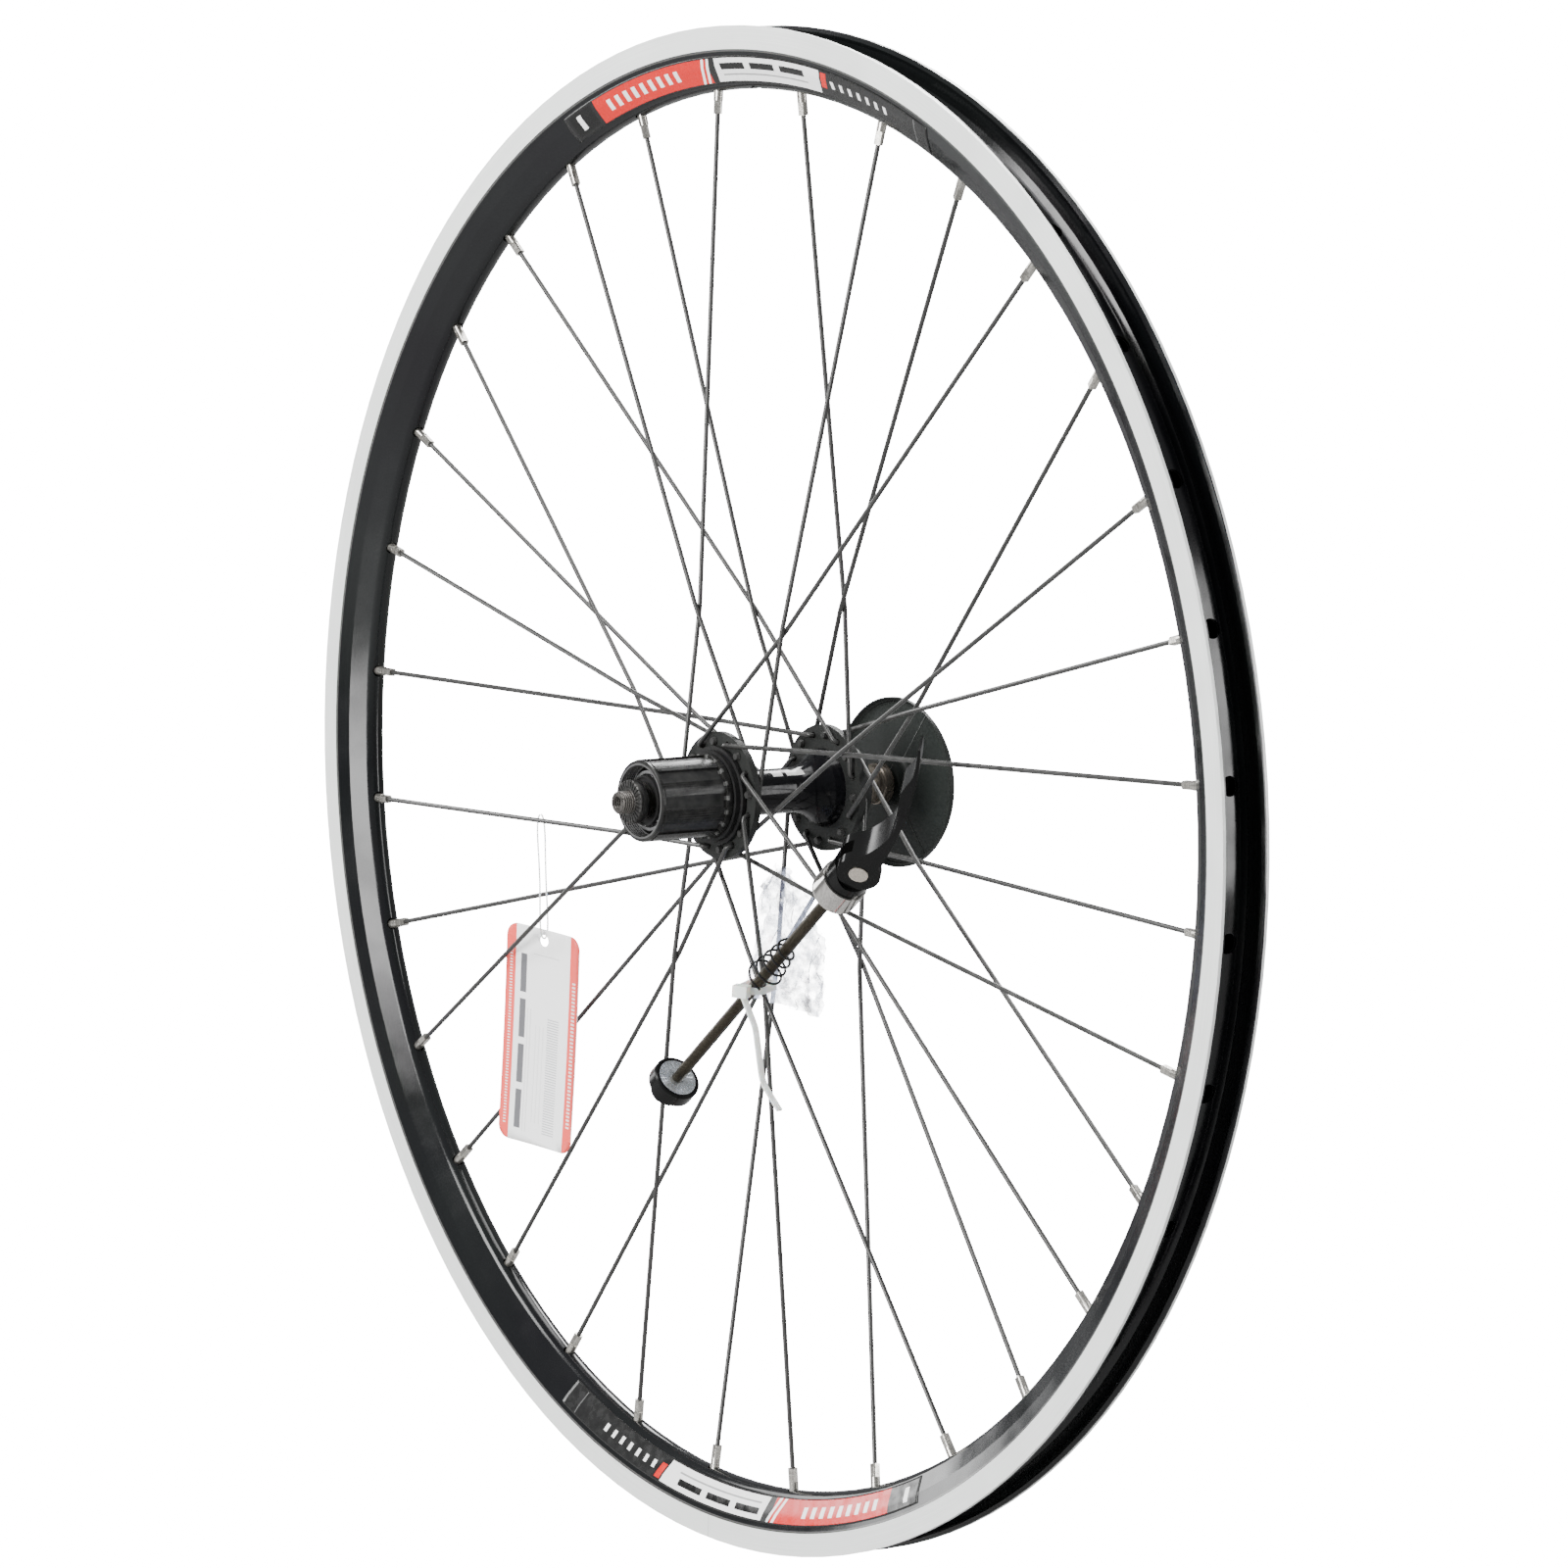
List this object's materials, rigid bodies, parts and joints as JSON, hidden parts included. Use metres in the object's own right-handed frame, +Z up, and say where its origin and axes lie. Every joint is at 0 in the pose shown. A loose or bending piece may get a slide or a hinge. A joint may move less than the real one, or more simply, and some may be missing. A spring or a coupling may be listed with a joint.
{
  "type": "bicycle rear wheel",
  "caption": "Spoked bicycle rear wheel with a double-wall rim, crossed black spokes, freehub, axle protector disc and a quick-release skewer tied on.",
  "frame": {"origin": "centre of the wheel, on the axle's axis in the rim's middle plane", "axes": "Y is the axle, with the freehub (drive side) at -Y; Z up through the valve hole"},
  "size_m": [0.6339, 0.1481, 0.634],
  "materials": {
    "rim_alloy": "gloss black anodised with machined brake tracks",
    "hub_black": "gloss black",
    "axle_steel": "oiled steel",
    "cone_steel": "ground steel",
    "seal_rubber": "matt",
    "locknut_steel": "serrated, bright",
    "race_steel": "polished",
    "ball_steel": "polished",
    "freehub_steel": "dark satin",
    "spoke_black": "semi-gloss black",
    "nipple_brass": "nickel plated",
    "rod_steel": "dark oiled",
    "skewer_black": "gloss",
    "bright_steel": "serrated",
    "barrel_steel": "satin",
    "lever_black": "gloss black",
    "spring_black": "black",
    "protector_plastic": "satin black",
    "card": "printed card",
    "clear_nylon": "clear",
    "tie_nylon": "milky nylon",
    "clear_film": "clear film"
  },
  "bodies": {
    "axle_set": {"axle": "axle_steel", "nds_cone": "cone_steel", "nds_spacer": "cone_steel", "nds_washer": "cone_steel", "nds_locknut": "cone_steel", "ds_cone": "cone_steel", "ds_cone_cover": "seal_rubber", "ds_spacer": "cone_steel", "ds_locknut": "locknut_steel"},
    "wheel": {"rim": "rim_alloy", "hub_shell": "hub_black", "nds_cup": "race_steel", "nds_dust_cap": "hub_black", "freehub_core": "race_steel", "freehub_bolt": "race_steel", "outer_rollers": "ball_steel", "inner_rollers": "ball_steel", "freehub_dust_ring": "seal_rubber", "ds_inner_spokes": "spoke_black", "ds_outer_spokes": "spoke_black", "nds_inner_spokes": "spoke_black", "nds_outer_spokes": "spoke_black", "ds_nipples": "nipple_brass", "nds_nipples": "nipple_brass", "skewer_rod": "rod_steel", "cam_cup": "bright_steel", "cam_seat": "skewer_black", "cam_barrel": "barrel_steel", "skewer_spring": "spring_black", "cable_tie": "tie_nylon", "parts_bag": "clear_film", "tag_string": "clear_nylon"},
    "nds_ball_ring": {"nds_balls": "ball_steel"},
    "ds_ball_ring": {"ds_balls": "ball_steel"},
    "freehub": {"freehub_body": "freehub_steel"},
    "pawl_a": {"pawl_a": "race_steel"},
    "pawl_b": {"pawl_b": "race_steel"},
    "skewer_nut": {"skewer_nut": "skewer_black", "skewer_nut_insert": "bright_steel"},
    "lever": {"qr_lever": "lever_black"},
    "protector": {"axle_protector": "protector_plastic"},
    "tag": {"hang_tag": "card"}
  },
  "joints": [
    {"name": "wheel_spin", "type": "hinge", "parent": "axle_set", "child": "wheel", "pos_m": [0, 0, 0], "axis": [0, 1, 0], "continuous": true},
    {"name": "nds_ball_roll", "type": "hinge", "parent": "axle_set", "child": "nds_ball_ring", "pos_m": [0, 0, 0], "axis": [0, 1, 0], "continuous": true},
    {"name": "ds_ball_roll", "type": "hinge", "parent": "axle_set", "child": "ds_ball_ring", "pos_m": [0, 0, 0], "axis": [0, 1, 0], "continuous": true},
    {"name": "freehub_spin", "type": "hinge", "parent": "wheel", "child": "freehub", "pos_m": [0, 0, 0], "axis": [0, 1, 0], "continuous": true},
    {"name": "pawl_a_fold", "type": "hinge", "parent": "wheel", "child": "pawl_a", "pos_m": [0.0098, -0.035, 0.0032], "axis": [0, 1, 0], "range_deg": [0, 12], "stiffness_Nm_per_rad": 0.004, "springref_deg": -17.19},
    {"name": "pawl_b_fold", "type": "hinge", "parent": "wheel", "child": "pawl_b", "pos_m": [-0.0098, -0.035, -0.0032], "axis": [0, 1, 0], "range_deg": [0, 12]},
    {"name": "skewer_nut_turn", "type": "hinge", "parent": "wheel", "child": "skewer_nut", "pos_m": [-0.0291, -0.022, -0.1241], "axis": [0.7757, 0, 0.6311], "continuous": true},
    {"name": "lever_swing", "type": "hinge", "parent": "wheel", "child": "lever", "pos_m": [0.10238, -0.022, -0.01713], "axis": [0.517, -0.5736, -0.6354], "range_deg": [-5, 90]},
    {"name": "protector_pull", "type": "slide", "parent": "axle_set", "child": "protector", "axis": [0, 1, 0], "range_m": [0, 0.012]},
    {"name": "tag_swing", "type": "hinge", "parent": "wheel", "child": "tag", "pos_m": [-0.15813, 0.00069, -0.07937], "axis": [0.197, -0.9797, -0.0382], "range_deg": [-5, 5]}
  ],
  "couplings": [
    {"joint": "nds_ball_roll", "follows": "wheel_spin", "ratio": 0.62},
    {"joint": "ds_ball_roll", "follows": "wheel_spin", "ratio": 0.62},
    {"joint": "pawl_b_fold", "follows": "pawl_a_fold", "ratio": 1}
  ]
}
